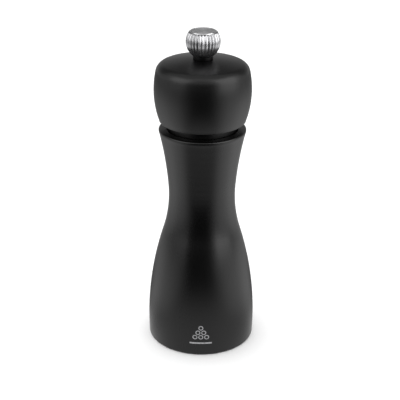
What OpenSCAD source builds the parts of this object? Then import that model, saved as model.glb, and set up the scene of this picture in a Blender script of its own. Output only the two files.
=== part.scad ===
// Pepper mill: a turned and lacquered wooden body and head, a steel burr set on a square shaft,
// and a fluted metal knob that sets the grind.
// Origin: centre of the foot, on the table. +Z runs up the shaft. All sizes are in millimetres.

/* [Body] */
// Height of the body, from the table to its rim
body_h = 105; // [104:0.5:106]
// Largest radius of the body, just above the foot
foot_r = 25.3; // [24.5:0.1:26]
// Height of that largest radius above the table
foot_z = 8.2; // [6:0.1:10]
// Radius of the long convex arc of the lower flank
flank_arc_r = 155; // [140:1:165]
// Radius of the waist
waist_r = 15.4; // [15:0.1:16]
// Height of the waist above the table
waist_z = 72.7; // [71:0.1:74]
// Angle above the waist at which the upper flank takes over
flare_angle = 4.6; // [3:0.1:5]
// Radius of the slightly hollow arc of the upper flank
flare_arc_r = 170; // [150:1:190]
// Rounding of the rim and of the foot's edge
edge_round = 0.7; // [0.3:0.1:1]

/* [Hollows of the body] */
// Radius of the recess under the foot
recess_r = 19; // [18:0.1:20]
// Depth of that recess
recess_h = 10; // [9.5:0.1:10.5]
// Radius of the chamber that holds the peppercorns
chamber_r = 11; // [10.8:0.1:11.2]
// Depth of the mouth that takes the head's spigot
mouth_h = 7.1; // [7:0.1:7.4]
// Gap all round between the spigot and the mouth
spigot_gap = 0.3; // [0.2:0.05:0.4]

/* [Head] */
// Height of the gap between the body's rim and the head's lower edge
reveal_h = 3.7; // [3.5:0.1:4.5]
// Largest radius of the head
head_r = 22; // [21.5:0.1:22.5]
// Height of that largest radius above the rim
head_bulge_h = 18; // [17.5:0.1:18.5]
// Radius of the arc of the head's side
head_side_r = 42.7; // [41:0.1:45]
// Radius of the shoulder between side and top
shoulder_r = 4.4; // [4:0.1:5]
// Radius of the shallow dome on top
dome_r = 80.7; // [75:0.1:85]
// Height of the top of the dome above the rim
dome_h = 32.3; // [32:0.1:32.6]
// Radius of the neck and spigot
spigot_r = 15.75; // [15.5:0.05:15.75]

/* [Knob] */
// Radius of the ball that the knob is turned from
knob_r = 7.7; // [7.5:0.05:7.8]
// Number of flutes round the knob
flute_count = 32; // [28:2:32]
// Depth of a flute
flute_depth = 0.3; // [0.2:0.05:0.3]
// Radius of the disc let into the knob's top
disc_r = 5.2; // [5:0.05:5.2]

/* [Grinding set] */
// Side of the square drive shaft
shaft_side = 6; // [5.9:0.05:6]
// Radius of the threaded end of the shaft
thread_r = 2.93; // [2.9:0.01:2.95]
// Radius of the grinding cone at its lower edge
cone_r = 10.3; // [10.2:0.05:10.4]
// Gap between the cone and the ring as stored
grind_gap = 0.3; // [0.25:0.01:0.35]
// Number of fine teeth on the cone and on the ring
fine_teeth = 30; // [24:2:32]
// Number of coarse teeth on the cone
coarse_teeth = 8; // [6:1:9]
// Turns of the thrust spring
spring_turns = 5; // [4:0.5:5]

/* [Hidden] */
$fn = 96;

lacquer = "#1b1b1d";
steel = "#a9acb0";
dark_steel = "#6d6f72";
polished = "#d4d6d8";
brass = "#c8a24c";
black_nylon = "#101012";

eps = 0.01;
cut = 1;                       // how far a cutting tool runs past the face that it cuts
screw_gap = 0.05;              // between a wood screw's shank and its pilot hole
screw_play = 0.25;             // between a wood screw's shank and its hole in a plate
pilot_over = 0.2;              // how much deeper a pilot hole is than its screw

// Body
waist_arc_r = (pow(foot_r - waist_r, 2) + pow(waist_z - foot_z, 2)) / (2 * (foot_r - waist_r)) - flank_arc_r;
mouth_r = spigot_r + spigot_gap;
ledge_z = body_h - mouth_h;
chamber_z = 25.2;              // height of the shoulder that the bridge bears on
ring_bore_r = 13.1;            // counterbore for the grinding ring and the bridge

// Grinding ring, bridge and plate
ring_r = 13;
ring_h = 14;
ring_z = recess_h;
lug_w = 3;
lug_out = 1.5;
lug_h = 3;
lug_gap = 0.1;                 // round a lug in its slot
cone_slope = 0.28;             // radius gained for each mm down the fine teeth
cone_z = 8.6;                  // lower edge of the cone
cone_h = 11;
fine_h = 4;                    // height of the band of fine teeth
fine_depth = 0.45;
cone_top_r = 5.7;
bridge_t = 1.2;
bridge_ring_r = 10.4;
bridge_bar_w = 6;
bridge_leg_x = 9.8;
bridge_foot_w = 2.4;
bridge_h = 8.6;
guide_r = shaft_side / 2 * sqrt(2) + 0.1;
plate_t = 1.2;
plate_r = recess_r - 0.6;
plate_hole_r = 11.4;
plate_screw_x = 15.7;
plate_screw_shank_r = 1.25;
plate_screw_shank_h = 10;

// Spring and its washer
bar_under_z = ring_z + ring_h + bridge_h - bridge_t;
washer_t = 0.6;
washer_r = 6.2;
washer_gap = 0.05;
spring_r = 4.95;
wire_r = 0.4;

// Shaft
shaft_z = 9.9;                 // where the square begins, on top of the cone's washer
square_top = 126;
shaft_top = 146.2;
thread_chamfer = 0.6;
tail_r = 2.2;
tail_head_r = 3.3;
tail_head_h = 0.9;
cone_washer_t = 0.8;
cone_washer_r = 4.8;
cone_recess_r = 7;

// Head
head_under_z = body_h + reveal_h;
head_lip = 0.5;                // rounding of the head's lower edge
head_cove = 1.6;               // hollow between the neck and the head's underside
head_top_z = body_h + dome_h;
seat_r = 5;                    // flat on top of the dome, under the knob
spigot_z = ledge_z + 0.1;
drive_plate_r = 12.5;
drive_plate_t = 1.5;
drive_hole = shaft_side + 0.3;
drive_screw_r = 9.2;
drive_screw_shank_r = 1.1;
drive_screw_shank_h = 9;
head_bore_r = 4.6;
head_neck_bore_r = 3.4;

// Knob
seat_z = head_top_z - dome_r + sqrt(pow(dome_r, 2) - pow(seat_r, 2));
knob_washer_z = seat_z + washer_gap;
knob_washer_r = 4.45;
knob_foot_z = 138.8;
knob_z = 145.1;                // height of the ball's centre
knob_top_z = 150;
flute_top_r = 6.4;
groove_w = 0.35;               // groove between the flutes and the bezel
groove_d = 0.25;
bezel_w = 0.25;                // flat of the bezel round the disc
disc_t = 0.7;
disc_raise = 0.2;              // height of the disc's raised rings
insert_r = 3.8;
insert_h = 8;

function arc(centre, r, from, to, steps) =
    [for (i = [0:steps]) let (a = from + (to - from) * i / steps) centre + r * [cos(a), sin(a)]];

// Outline of the body's outside, from the foot to the rim: four arcs, each tangent to the next.
function body_outline() =
    let (flank_c = [foot_r - flank_arc_r, foot_z],
         waist_c = [waist_r + waist_arc_r, waist_z],
         meet = atan2(waist_z - foot_z, waist_c[0] - flank_c[0]),
         flare_top = waist_c - waist_arc_r * [cos(flare_angle), -sin(flare_angle)],
         flare_c = flare_top + flare_arc_r * [cos(flare_angle), -sin(flare_angle)],
         flare_end = asin((body_h - edge_round - flare_c[1]) / flare_arc_r),
         rim_r = flare_c[0] - flare_arc_r * cos(flare_end),
         foot_start = asin((edge_round - foot_z) / flank_arc_r),
         base_r = flank_c[0] + flank_arc_r * cos(foot_start))
    concat([[0, 0]],
           arc([base_r - edge_round, edge_round], edge_round, -90, 0, 5),
           arc(flank_c, flank_arc_r, foot_start, meet, 22),
           arc(waist_c, waist_arc_r, 180 + meet, 180 - flare_angle, 12),
           arc(flare_c, flare_arc_r, 180 - flare_angle, 180 - flare_end, 8),
           arc([rim_r - edge_round, body_h - edge_round], edge_round, 0, 90, 5),
           [[0, body_h]]);

// Outline of the head's outside, from the bottom of the spigot to the flat under the knob.
function head_outline() =
    let (side_c = [head_r - head_side_r, body_h + head_bulge_h],
         dome_c = [0, head_top_z - dome_r],
         along = norm(dome_c - side_c),
         reach_side = head_side_r - shoulder_r,
         reach_dome = dome_r - shoulder_r,
         toward = (dome_c - side_c) / along,
         x = (pow(reach_side, 2) - pow(reach_dome, 2) + pow(along, 2)) / (2 * along),
         y = sqrt(pow(reach_side, 2) - pow(x, 2)),
         shoulder_c = side_c + x * toward + y * [-toward[1], toward[0]],
         side_end = atan2(shoulder_c[1] - side_c[1], shoulder_c[0] - side_c[0]),
         dome_start = atan2(shoulder_c[1] - dome_c[1], shoulder_c[0] - dome_c[0]),
         side_start = asin((head_under_z + head_lip - side_c[1]) / head_side_r),
         edge_r = side_c[0] + head_side_r * cos(side_start))
    concat([[0, spigot_z], [spigot_r - 0.5, spigot_z], [spigot_r, spigot_z + 0.5]],
           arc([spigot_r + head_cove, head_under_z - head_cove], head_cove, 180, 90, 5),
           arc([edge_r - head_lip, head_under_z + head_lip], head_lip, -90, 0, 4),
           arc(side_c, head_side_r, side_start, side_end, 16),
           arc(shoulder_c, shoulder_r, side_end, dome_start, 8),
           arc(dome_c, dome_r, dome_start, acos(seat_r / dome_r), 6),
           [[0, seat_z]]);

// Radius of the cone's fine teeth at height z.
function fine_r(z) = cone_r - cone_slope * (z - cone_z);

module disc(r, h, z = 0) { translate([0, 0, z]) cylinder(r = r, h = h); }

module washer(r, hole_r, h, z) {
    difference() {
        disc(r, h, z);
        disc(hole_r, h + 2 * cut, z - cut);
    }
}

// Pan-head wood screw with its head below z and its shank above it.
module screw(head_r, head_h, shank_r, shank_h) {
    edge = 0.4;
    slot_w = 0.5;
    slot_l = head_r * 1.1;
    point_h = 1;
    difference() {
        translate([0, 0, -head_h]) cylinder(r1 = head_r - edge, r2 = head_r, h = head_h);
        for (turn = [0, 90])
            rotate([0, 0, turn])
                translate([-slot_l / 2, -slot_w / 2, -head_h - cut]) cube([slot_l, slot_w, slot_w + cut]);
    }
    cylinder(r = shank_r, h = shank_h - point_h);
    translate([0, 0, shank_h - point_h]) cylinder(r1 = shank_r, r2 = 0.3, h = point_h);
}

// V grooves round an axis: each follows a line that leans with slope and is turned by skew.
module v_grooves(count, depth, r, z, length, slope, skew) {
    for (i = [0:count - 1])
        rotate([0, 0, 360 * i / count])
            translate([r, 0, z])
                rotate([skew, 0, 0])
                    rotate([0, slope, 0])
                        rotate([0, 0, 45])
                            cube([depth * sqrt(2), depth * sqrt(2), length], center = true);
}

module retaining_screw_places() {
    for (side = [-1, 1]) translate([side * plate_screw_x, 0, ring_z - plate_t]) children();
}

module drive_screw_places() {
    for (turn = [90, 210, 330]) rotate([0, 0, turn]) translate([drive_screw_r, 0, spigot_z]) children();
}

module mill_body() {
    color(lacquer) difference() {
        rotate_extrude() polygon(body_outline());
        disc(recess_r, recess_h + cut, -cut);
        disc(ring_bore_r, chamber_z - recess_h + cut, recess_h - cut);
        for (side = [0, 180])
            rotate([0, 0, side])
                translate([-lug_w / 2 - lug_gap, 0, recess_h - cut])
                    cube([lug_w + 2 * lug_gap, ring_r + lug_out + lug_gap, lug_h + cut]);
        disc(chamber_r, body_h, chamber_z - cut);
        disc(mouth_r, mouth_h + cut, ledge_z);
        retaining_screw_places()
            cylinder(r = plate_screw_shank_r + screw_gap, h = plate_screw_shank_h + pilot_over);
    }
}

module grinding_ring() {
    fine_top = cone_z + fine_h;
    fine_mid = (ring_z + fine_top) / 2;
    color(dark_steel) difference() {
        union() {
            disc(ring_r, ring_h, ring_z);
            for (side = [0, 180])
                rotate([0, 0, side])
                    translate([-lug_w / 2, ring_r - 1, ring_z]) cube([lug_w, 1 + lug_out, lug_h]);
        }
        rotate_extrude() polygon([[0, ring_z - cut], [fine_r(ring_z - cut) + grind_gap, ring_z - cut],
                                  [fine_r(fine_top) + grind_gap, fine_top],
                                  [bridge_ring_r, ring_z + ring_h + cut], [0, ring_z + ring_h + cut]]);
        v_grooves(count = fine_teeth, depth = fine_depth, r = fine_r(fine_mid) + grind_gap, z = fine_mid,
                  length = 4.4, slope = -atan(cone_slope), skew = 14);
        v_grooves(count = 10, depth = 0.8, r = 10.1, z = 19.2, length = 12, slope = 5, skew = -14);
    }
}

module grinder_bridge() {
    base_z = ring_z + ring_h;
    color(steel) difference() {
        union() {
            washer(ring_r, bridge_ring_r, bridge_t, base_z);
            for (side = [0, 180])
                rotate([0, 0, side]) {
                    translate([bridge_leg_x - bridge_t, -bridge_bar_w / 2, base_z])
                        cube([bridge_t, bridge_bar_w, bridge_h]);
                    translate([bridge_leg_x - bridge_t, -bridge_bar_w / 2, base_z])
                        cube([bridge_foot_w, bridge_bar_w, bridge_t]);
                    translate([0, -bridge_bar_w / 2, bar_under_z])
                        cube([bridge_leg_x, bridge_bar_w, bridge_t]);
                }
            disc(washer_r + 0.2, bridge_t, bar_under_z);
        }
        disc(guide_r, bridge_t + 2 * cut, bar_under_z - cut);
    }
}

module retaining_plate() {
    color(steel) difference() {
        washer(plate_r, plate_hole_r, plate_t, ring_z - plate_t);
        retaining_screw_places()
            translate([0, 0, -cut]) cylinder(r = plate_screw_shank_r + screw_play, h = plate_t + 2 * cut);
    }
}

module retaining_screws() {
    color(steel)
        retaining_screw_places()
            screw(head_r = 2.6, head_h = 1.3, shank_r = plate_screw_shank_r, shank_h = plate_screw_shank_h);
}

module spring_washer() {
    color(steel) washer(washer_r, guide_r, washer_t, bar_under_z - washer_gap - washer_t);
}

// Round wire wound into a helix whose pitch closes up towards both ends.
module thrust_spring() {
    low = cone_z + cone_h + 0.05 + wire_r;
    high = bar_under_z - washer_t - 2 * washer_gap - wire_r;
    steps_per_turn = 16;
    sides = 6;
    end_closing = 0.55;
    rings = spring_turns * steps_per_turn;
    function ease(t) = t - end_closing * sin(360 * t) / (2 * PI);
    points = [for (i = [0:rings])
                  let (turn = 360 * spring_turns * i / rings, z = low + (high - low) * ease(i / rings))
                  for (k = [0:sides - 1])
                      let (a = 360 * k / sides, r = spring_r + wire_r * cos(a))
                      [r * cos(turn), r * sin(turn), z + wire_r * sin(a)]];
    walls = [for (i = [0:rings - 1])
                 for (k = [0:sides - 1])
                     let (next = (k + 1) % sides)
                     [i * sides + k, i * sides + next, (i + 1) * sides + next, (i + 1) * sides + k]];
    color(steel)
        polyhedron(points = points, faces = concat(walls, [[for (k = [0:sides - 1]) sides - 1 - k]],
                                                   [[for (k = [0:sides - 1]) rings * sides + k]]));
}

module drive_shaft() {
    half = shaft_side / 2;
    tail_low = shaft_z - cone_washer_t - tail_head_h;
    chamfer_z = shaft_top - thread_chamfer;
    color(steel) {
        translate([-half, -half, shaft_z]) cube([shaft_side, shaft_side, square_top - shaft_z]);
        disc(thread_r, chamfer_z - square_top + eps, square_top - eps);
        translate([0, 0, chamfer_z])
            cylinder(r1 = thread_r, r2 = thread_r - thread_chamfer, h = thread_chamfer);
        disc(tail_r, shaft_z - tail_low, tail_low);
        translate([0, 0, tail_low]) cylinder(r1 = tail_head_r - 0.7, r2 = tail_head_r, h = tail_head_h);
    }
}

module grinding_cone() {
    fine_top = cone_z + fine_h;
    cone_top = cone_z + cone_h;
    hole = shaft_side + 0.04;
    color(dark_steel) difference() {
        rotate_extrude() polygon([[0, cone_z], [cone_r, cone_z], [fine_r(fine_top), fine_top],
                                  [8.5, fine_top + 1], [6.3, cone_top - 2.6], [cone_top_r, cone_top - 0.8],
                                  [cone_top_r, cone_top], [0, cone_top]]);
        v_grooves(count = fine_teeth, depth = fine_depth, r = fine_r(10.4), z = 10.4,
                  length = 5, slope = -atan(cone_slope), skew = -14);
        v_grooves(count = coarse_teeth, depth = 1.3, r = 7.9, z = 15, length = 9, slope = -32, skew = -30);
        disc(cone_recess_r, shaft_z - cone_z + cut, cone_z - cut);
        translate([-hole / 2, -hole / 2, cone_z]) cube([hole, hole, cone_h + cut]);
    }
}

module cone_washer() {
    color(steel) washer(cone_washer_r, tail_r, cone_washer_t, shaft_z - cone_washer_t);
}

module mill_head() {
    color(lacquer) difference() {
        rotate_extrude() polygon(head_outline());
        disc(drive_plate_r + 0.1, drive_plate_t + cut, spigot_z - cut);
        disc(head_bore_r, square_top + 2 - spigot_z, spigot_z);
        disc(head_neck_bore_r, head_top_z - square_top, square_top);
        drive_screw_places()
            cylinder(r = drive_screw_shank_r + screw_gap, h = drive_screw_shank_h + pilot_over);
    }
}

module drive_plate() {
    color(steel) difference() {
        disc(drive_plate_r, drive_plate_t, spigot_z);
        translate([-drive_hole / 2, -drive_hole / 2, spigot_z - cut])
            cube([drive_hole, drive_hole, drive_plate_t + 2 * cut]);
        drive_screw_places()
            translate([0, 0, -cut]) cylinder(r = drive_screw_shank_r + screw_play, h = drive_plate_t + 2 * cut);
    }
}

module drive_plate_screws() {
    color(steel)
        drive_screw_places()
            screw(head_r = 1.9, head_h = 0.9, shank_r = drive_screw_shank_r, shank_h = drive_screw_shank_h);
}

module adjusting_knob() {
    foot_angle = asin((knob_foot_z - knob_z) / knob_r);
    top_angle = acos(flute_top_r / knob_r);
    ring_top = knob_top_z - knob_z;
    groove_z = knob_r * sin(top_angle);
    flute_tool_r = 0.65;
    flute_path_r = knob_r - flute_depth + flute_tool_r;
    flute_drop = 0.2;
    color(polished) difference() {
        translate([0, 0, knob_z])
            rotate_extrude()
                polygon(concat([[0, knob_foot_z - knob_z]],
                               arc([0, 0], knob_r, foot_angle, top_angle, 18),
                               [[flute_top_r - groove_w / 2, groove_z - groove_d],
                                [flute_top_r - groove_w, groove_z + 0.05],
                                [disc_r + bezel_w, ring_top], [0, ring_top]]));
        for (i = [0:flute_count - 1])
            rotate([0, 0, 360 * (i + 0.5) / flute_count])
                translate([0, 0, knob_z - flute_drop])
                    rotate([90, 0, 0])
                        rotate([0, 0, -50])
                            rotate_extrude(angle = 50 + top_angle)
                                translate([flute_path_r, 0]) circle(r = flute_tool_r, $fn = 24);
        disc(disc_r + 0.02, disc_t + cut, knob_top_z - disc_t);
        disc(insert_r + 0.02, insert_h + 0.3 + cut, knob_foot_z - cut);
        disc(thread_r + 0.3, insert_h + 1.3, knob_foot_z);
    }
}

// Disc with raised rings round a small centre boss.
module knob_disc() {
    low = knob_top_z - disc_t;
    rim_w = 0.7;
    ring_out_r = disc_r * 0.6;
    ring_w = 0.5;
    color(steel) {
        disc(disc_r, disc_t - disc_raise, low);
        washer(disc_r, disc_r - rim_w, disc_t, low);
        washer(ring_out_r, ring_out_r - ring_w, disc_t, low);
        disc(disc_r * 0.25, disc_t, low);
    }
}

module knob_insert() {
    color(brass) washer(insert_r, thread_r + 0.07, insert_h, knob_foot_z + 0.2);
}

module knob_washer() {
    color(black_nylon) washer(knob_washer_r, thread_r + 0.3, knob_foot_z - knob_washer_z, knob_washer_z);
}

mill_body();
grinding_ring();
grinder_bridge();
retaining_plate();
retaining_screws();
spring_washer();
thrust_spring();
drive_shaft();
grinding_cone();
cone_washer();
mill_head();
drive_plate();
drive_plate_screws();
adjusting_knob();
knob_disc();
knob_insert();
knob_washer();
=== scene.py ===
"""Looks of the pepper mill: smooth turned shells, detailed metalwork, plain studio light and the camera.

Lengths are in metres in the CAD frame: the origin is the centre of the foot, +Z runs up the shaft, and -Y
points towards the camera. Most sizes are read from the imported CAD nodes. The constants are those that a
node's box does not tell, and those that only the looks need.
"""
import math

import bmesh
import bpy
from mathutils import Matrix, Vector


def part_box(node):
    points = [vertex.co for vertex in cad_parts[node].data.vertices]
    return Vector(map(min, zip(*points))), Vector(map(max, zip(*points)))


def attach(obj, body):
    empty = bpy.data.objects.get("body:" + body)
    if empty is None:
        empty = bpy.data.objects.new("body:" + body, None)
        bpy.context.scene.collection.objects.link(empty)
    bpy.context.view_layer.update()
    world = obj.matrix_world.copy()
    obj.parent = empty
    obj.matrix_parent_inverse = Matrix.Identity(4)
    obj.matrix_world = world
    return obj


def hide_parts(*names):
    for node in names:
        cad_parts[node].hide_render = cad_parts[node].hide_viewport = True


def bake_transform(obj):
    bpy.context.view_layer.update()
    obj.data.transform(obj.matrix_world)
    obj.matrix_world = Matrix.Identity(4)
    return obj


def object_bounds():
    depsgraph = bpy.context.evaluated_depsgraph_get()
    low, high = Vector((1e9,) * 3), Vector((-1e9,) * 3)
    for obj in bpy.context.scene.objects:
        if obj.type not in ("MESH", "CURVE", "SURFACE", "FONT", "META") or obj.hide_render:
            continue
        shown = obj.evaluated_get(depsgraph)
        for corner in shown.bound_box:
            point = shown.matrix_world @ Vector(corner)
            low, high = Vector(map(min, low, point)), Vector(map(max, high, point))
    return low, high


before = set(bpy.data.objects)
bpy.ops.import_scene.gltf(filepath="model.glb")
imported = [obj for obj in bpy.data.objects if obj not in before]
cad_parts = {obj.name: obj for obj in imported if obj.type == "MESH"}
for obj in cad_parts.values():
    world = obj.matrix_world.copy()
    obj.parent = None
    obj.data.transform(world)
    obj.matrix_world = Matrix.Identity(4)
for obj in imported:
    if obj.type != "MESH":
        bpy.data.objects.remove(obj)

MM = 0.001
TINY = 1e-6                   # two places closer than this are the same
CAD_BOX = [list(corner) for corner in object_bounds()]

# ---------------------------------------------------------------- sizes read from the CAD nodes

def low_z(node):
    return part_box(node)[0].z


def high_z(node):
    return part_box(node)[1].z


def out_r(node):
    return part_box(node)[1].x


def high_y(node):
    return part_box(node)[1].y


def outer_skin(node, least_r):
    """(r, z) up the outward-facing skin of a turned CAD node, one point a level, for radii above least_r."""
    level_normal = 0.01           # a normal's sideways part, below which the face is a level rim
    outward = 0.98                # cosine of the widest angle at which a face still counts as facing outwards
    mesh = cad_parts[node].data
    widest = {}
    for face in mesh.polygons:
        flat = Vector((face.normal.x, face.normal.y))
        away = Vector((face.center.x, face.center.y))
        if flat.length < level_normal or flat.normalized().dot(away.normalized()) < outward:
            continue
        for index in face.vertices:
            x, y, z = mesh.vertices[index].co
            r = math.hypot(x, y)
            if r > least_r:
                level = round(z, 6)
                widest[level] = max(widest.get(level, 0.0), r)
    return [(widest[z], z) for z in sorted(widest)]


FOOT_R = out_r("mill_body")
BODY_H = high_z("mill_body")
RING_R = out_r("grinding_ring")
RING_LOW = low_z("grinding_ring")
KNOB_R = out_r("adjusting_knob")
KNOB_LOW = low_z("adjusting_knob")
KNOB_TOP = high_z("adjusting_knob")
SHAFT_TOP = high_z("drive_shaft")
SPIGOT_LOW = low_z("mill_head")

# Sizes of hidden hollows, the same as the CAD's
RECESS_R = 19 * MM
CHAMBER_R = 11 * MM
CHAMBER_LOW = 25.2 * MM
INSIDE_WAIST_R = 15 * MM      # a little less than the waist, and clear of the screw holes in the foot
NECK_R = 15.75 * MM
NECK_GAP = 0.3 * MM           # all round the neck, where it turns in the mouth
MOUTH_R = NECK_R + NECK_GAP
HIDDEN_GAP = 0.1 * MM         # between a hidden piece and the hollow that it sits in
LEDGE_Z = SPIGOT_LOW - HIDDEN_GAP
HEAD_BORE_R = 4.6 * MM
HEAD_TOP_BORE_R = 3.4 * MM
SQUARE_TOP = 126 * MM         # where the shaft's square ends and its thread begins
SEAT_R = 5 * MM
COVE_R = 1.6 * MM

# ---------------------------------------------------------------- outlines

def arc(centre, radius, start, end, steps):
    """Points (r, z) along an arc, with angles in degrees."""
    points = []
    for i in range(steps + 1):
        a = math.radians(start + (end - start) * i / steps)
        points.append((centre[0] + radius * math.cos(a), centre[1] + radius * math.sin(a)))
    return points


def smooth(points, step):
    """A Catmull-Rom curve through points, cut into pieces no longer than step."""
    ends = [points[0]] + list(points) + [points[-1]]
    curve = [points[0]]
    for a, b, c, d in zip(ends, ends[1:], ends[2:], ends[3:]):
        count = max(1, math.ceil(math.dist(b, c) / step))
        near = max(math.dist(a, b), TINY)
        mid = math.dist(b, c)
        far = max(math.dist(c, d), TINY)
        for i in range(1, count + 1):
            t = i / count
            point = []
            for before, start, end, after in zip(a, b, c, d):
                leave = ((start - before) / near * mid + (end - start) / mid * near) / (near + mid) * mid
                arrive = ((end - start) / mid * far + (after - end) / far * mid) / (mid + far) * mid
                point.append((2 * t**3 - 3 * t**2 + 1) * start + (t**3 - 2 * t**2 + t) * leave
                             + (3 * t**2 - 2 * t**3) * end + (t**3 - t**2) * arrive)
            curve.append(tuple(point))
    return curve


def rounded(corners, radius, steps=3):
    """A polyline with each inner corner cut by a small bend, which takes less than half of a short side."""
    longest = 0.45
    out = [corners[0]]
    for before, corner, after in zip(corners, corners[1:], corners[2:]):
        c = Vector(corner)
        u = Vector(before) - c
        v = Vector(after) - c
        reach = min(radius, u.length * longest, v.length * longest)
        start = c + u.normalized() * reach
        end = c + v.normalized() * reach
        for i in range(steps + 1):
            t = i / steps
            out.append(tuple(start * (1 - t) ** 2 + c * 2 * t * (1 - t) + end * t * t))
    out.append(corners[-1])
    return out

# ---------------------------------------------------------------- meshes

# Edges that bend more than this shade sharp
SHARP = math.radians(38)
SHARP_PRESSED = math.radians(40)
SHARP_TEETH = math.radians(50)
SHARP_KNOB = math.radians(60)


def finish_mesh(name, vertices, faces, slots, materials, body, node, record_slot, sharp=SHARP):
    """Makes the object, shades it smooth apart from sharp edges, ties it to its body, and hides the CAD node
    that it stands for.
    """
    mesh = bpy.data.meshes.new(name)
    mesh.from_pydata(vertices, [], faces)
    mesh.validate()
    for material in materials:
        mesh.materials.append(material)
    if slots is not None:
        mesh.polygons.foreach_set("material_index", slots)
    mesh.shade_smooth()
    mesh.set_sharp_from_angle(angle=sharp)
    obj = bpy.data.objects.new(name, mesh)
    bpy.context.scene.collection.objects.link(obj)
    if isinstance(body, tuple):
        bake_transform(obj)
    else:
        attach(obj, body)
    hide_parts(node)
    return obj


def lathe(outline, steps, carve=None, twist=None, slots=None):
    """Vertices, faces and material numbers of a turned solid.

    outline is a closed loop of (r, z) points that runs up the outside and down the inside. An r may be a
    function of the angle, for a square or a cross. carve(angle, index) gives how deep the surface is cut
    there, along its normal, and twist(index) turns that ring about the axis, so that cuts wind round it.
    """
    count = len(outline)
    plain = [(r(0.0) if callable(r) else r, z) for r, z in outline]
    normals = []
    for i in range(count):
        before, after = plain[i - 1], plain[(i + 1) % count]
        run = Vector((after[0] - before[0], after[1] - before[1]))
        run = run.normalized() if run.length > 0 else Vector((0, 1))
        normals.append((run.y, -run.x))
    vertices, rings = [], []
    for i, (r, z) in enumerate(outline):
        if plain[i][0] < TINY:
            rings.append([len(vertices)] * steps)
            vertices.append((0.0, 0.0, z))
            continue
        ring = []
        for k in range(steps):
            column = 2 * math.pi * k / steps - math.pi / 2
            angle = column + (twist(i) if twist else 0.0)
            depth = carve(column, i) if carve else 0.0
            radius = (r(angle) if callable(r) else r) - depth * normals[i][0]
            ring.append(len(vertices))
            vertices.append((radius * math.cos(angle), radius * math.sin(angle), z - depth * normals[i][1]))
        rings.append(ring)
    faces, numbers = [], []
    for i in range(count):
        lower, upper = rings[i], rings[(i + 1) % count]
        for k in range(steps):
            j = (k + 1) % steps
            corners = []
            for corner in (lower[k], lower[j], upper[j], upper[k]):
                if corner not in corners:
                    corners.append(corner)
            if len(corners) > 2:
                faces.append(corners)
                numbers.append(slots[i] if slots else 0)
    return vertices, faces, numbers


def joined(parts):
    """Several (vertices, faces, numbers) as one."""
    vertices, faces, numbers = [], [], []
    for more_vertices, more_faces, more_numbers in parts:
        start = len(vertices)
        vertices += more_vertices
        faces += [[start + corner for corner in face] for face in more_faces]
        numbers += more_numbers
    return vertices, faces, numbers


def moved(part, x, y):
    """The same part, shifted sideways."""
    vertices, faces, numbers = part
    return [(v[0] + x, v[1] + y, v[2]) for v in vertices], faces, numbers


def levels(low, high, step):
    """Heights from low to high, in equal steps no longer than step."""
    count = max(1, math.ceil(abs(high - low) / step))
    return [low + (high - low) * i / count for i in range(count + 1)]


def square(half, corner):
    """The distance from the axis to the side of a square with round corners, as a function of the angle."""
    middle = half - corner

    def way(angle):
        short, long = sorted((abs(math.cos(angle)), abs(math.sin(angle))))
        if half / long * short <= middle:
            return half / long
        along = middle * (long + short)
        return along + math.sqrt(along * along - 2 * middle * middle + corner * corner)
    return way


def cross(half_width, length):
    """The distance from the axis to the edge of a cross, as a function of the angle."""
    def way(angle):
        short, long = sorted((abs(math.cos(angle)), abs(math.sin(angle))))
        return min(length / long, half_width / max(short, TINY))
    return way


def thread(outline, low, high, pitch, depth):
    """A carve that winds a V thread with a flat root round part of an outline, and fades at its ends."""
    steepness = 1.25

    def cut(angle, index):
        z = outline[index][1]
        fade = min(1.0, max(0.0, (z - low) / pitch), max(0.0, (high - z) / pitch))
        phase = (z / pitch - angle / (2 * math.pi)) % 1.0
        return depth * fade * min(1.0, steepness * abs(2 * phase - 1))
    return cut

# ---------------------------------------------------------------- materials

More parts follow.
